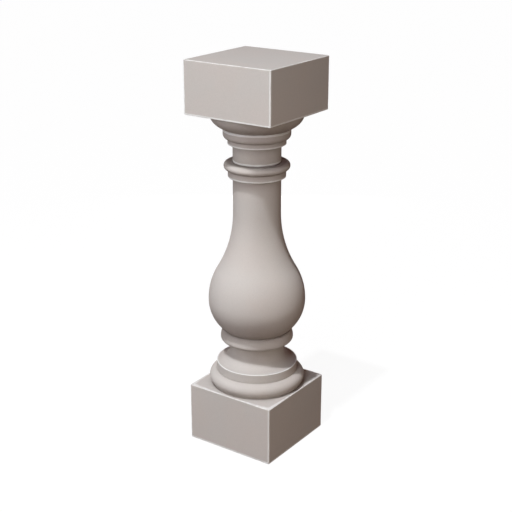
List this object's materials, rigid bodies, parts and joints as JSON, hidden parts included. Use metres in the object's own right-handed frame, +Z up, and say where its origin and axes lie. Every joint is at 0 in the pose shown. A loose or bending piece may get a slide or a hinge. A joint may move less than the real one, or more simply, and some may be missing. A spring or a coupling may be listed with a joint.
{
  "type": "stone baluster",
  "caption": "Square-blocked stone baluster with a turned vase body, ringed neck and moulded foot, standing on its own plinth.",
  "frame": {"origin": "centre of the plinth's underside", "axes": "+Z up along the turned axis, -Y out of the front face of the blocks, +X out of their right face"},
  "size_m": [0.15, 0.15, 0.6],
  "materials": {
    "stone": "matt, fine-grained, rubbed smooth"
  },
  "bodies": {
    "root": {"baluster": "stone"}
  },
  "joints": []
}
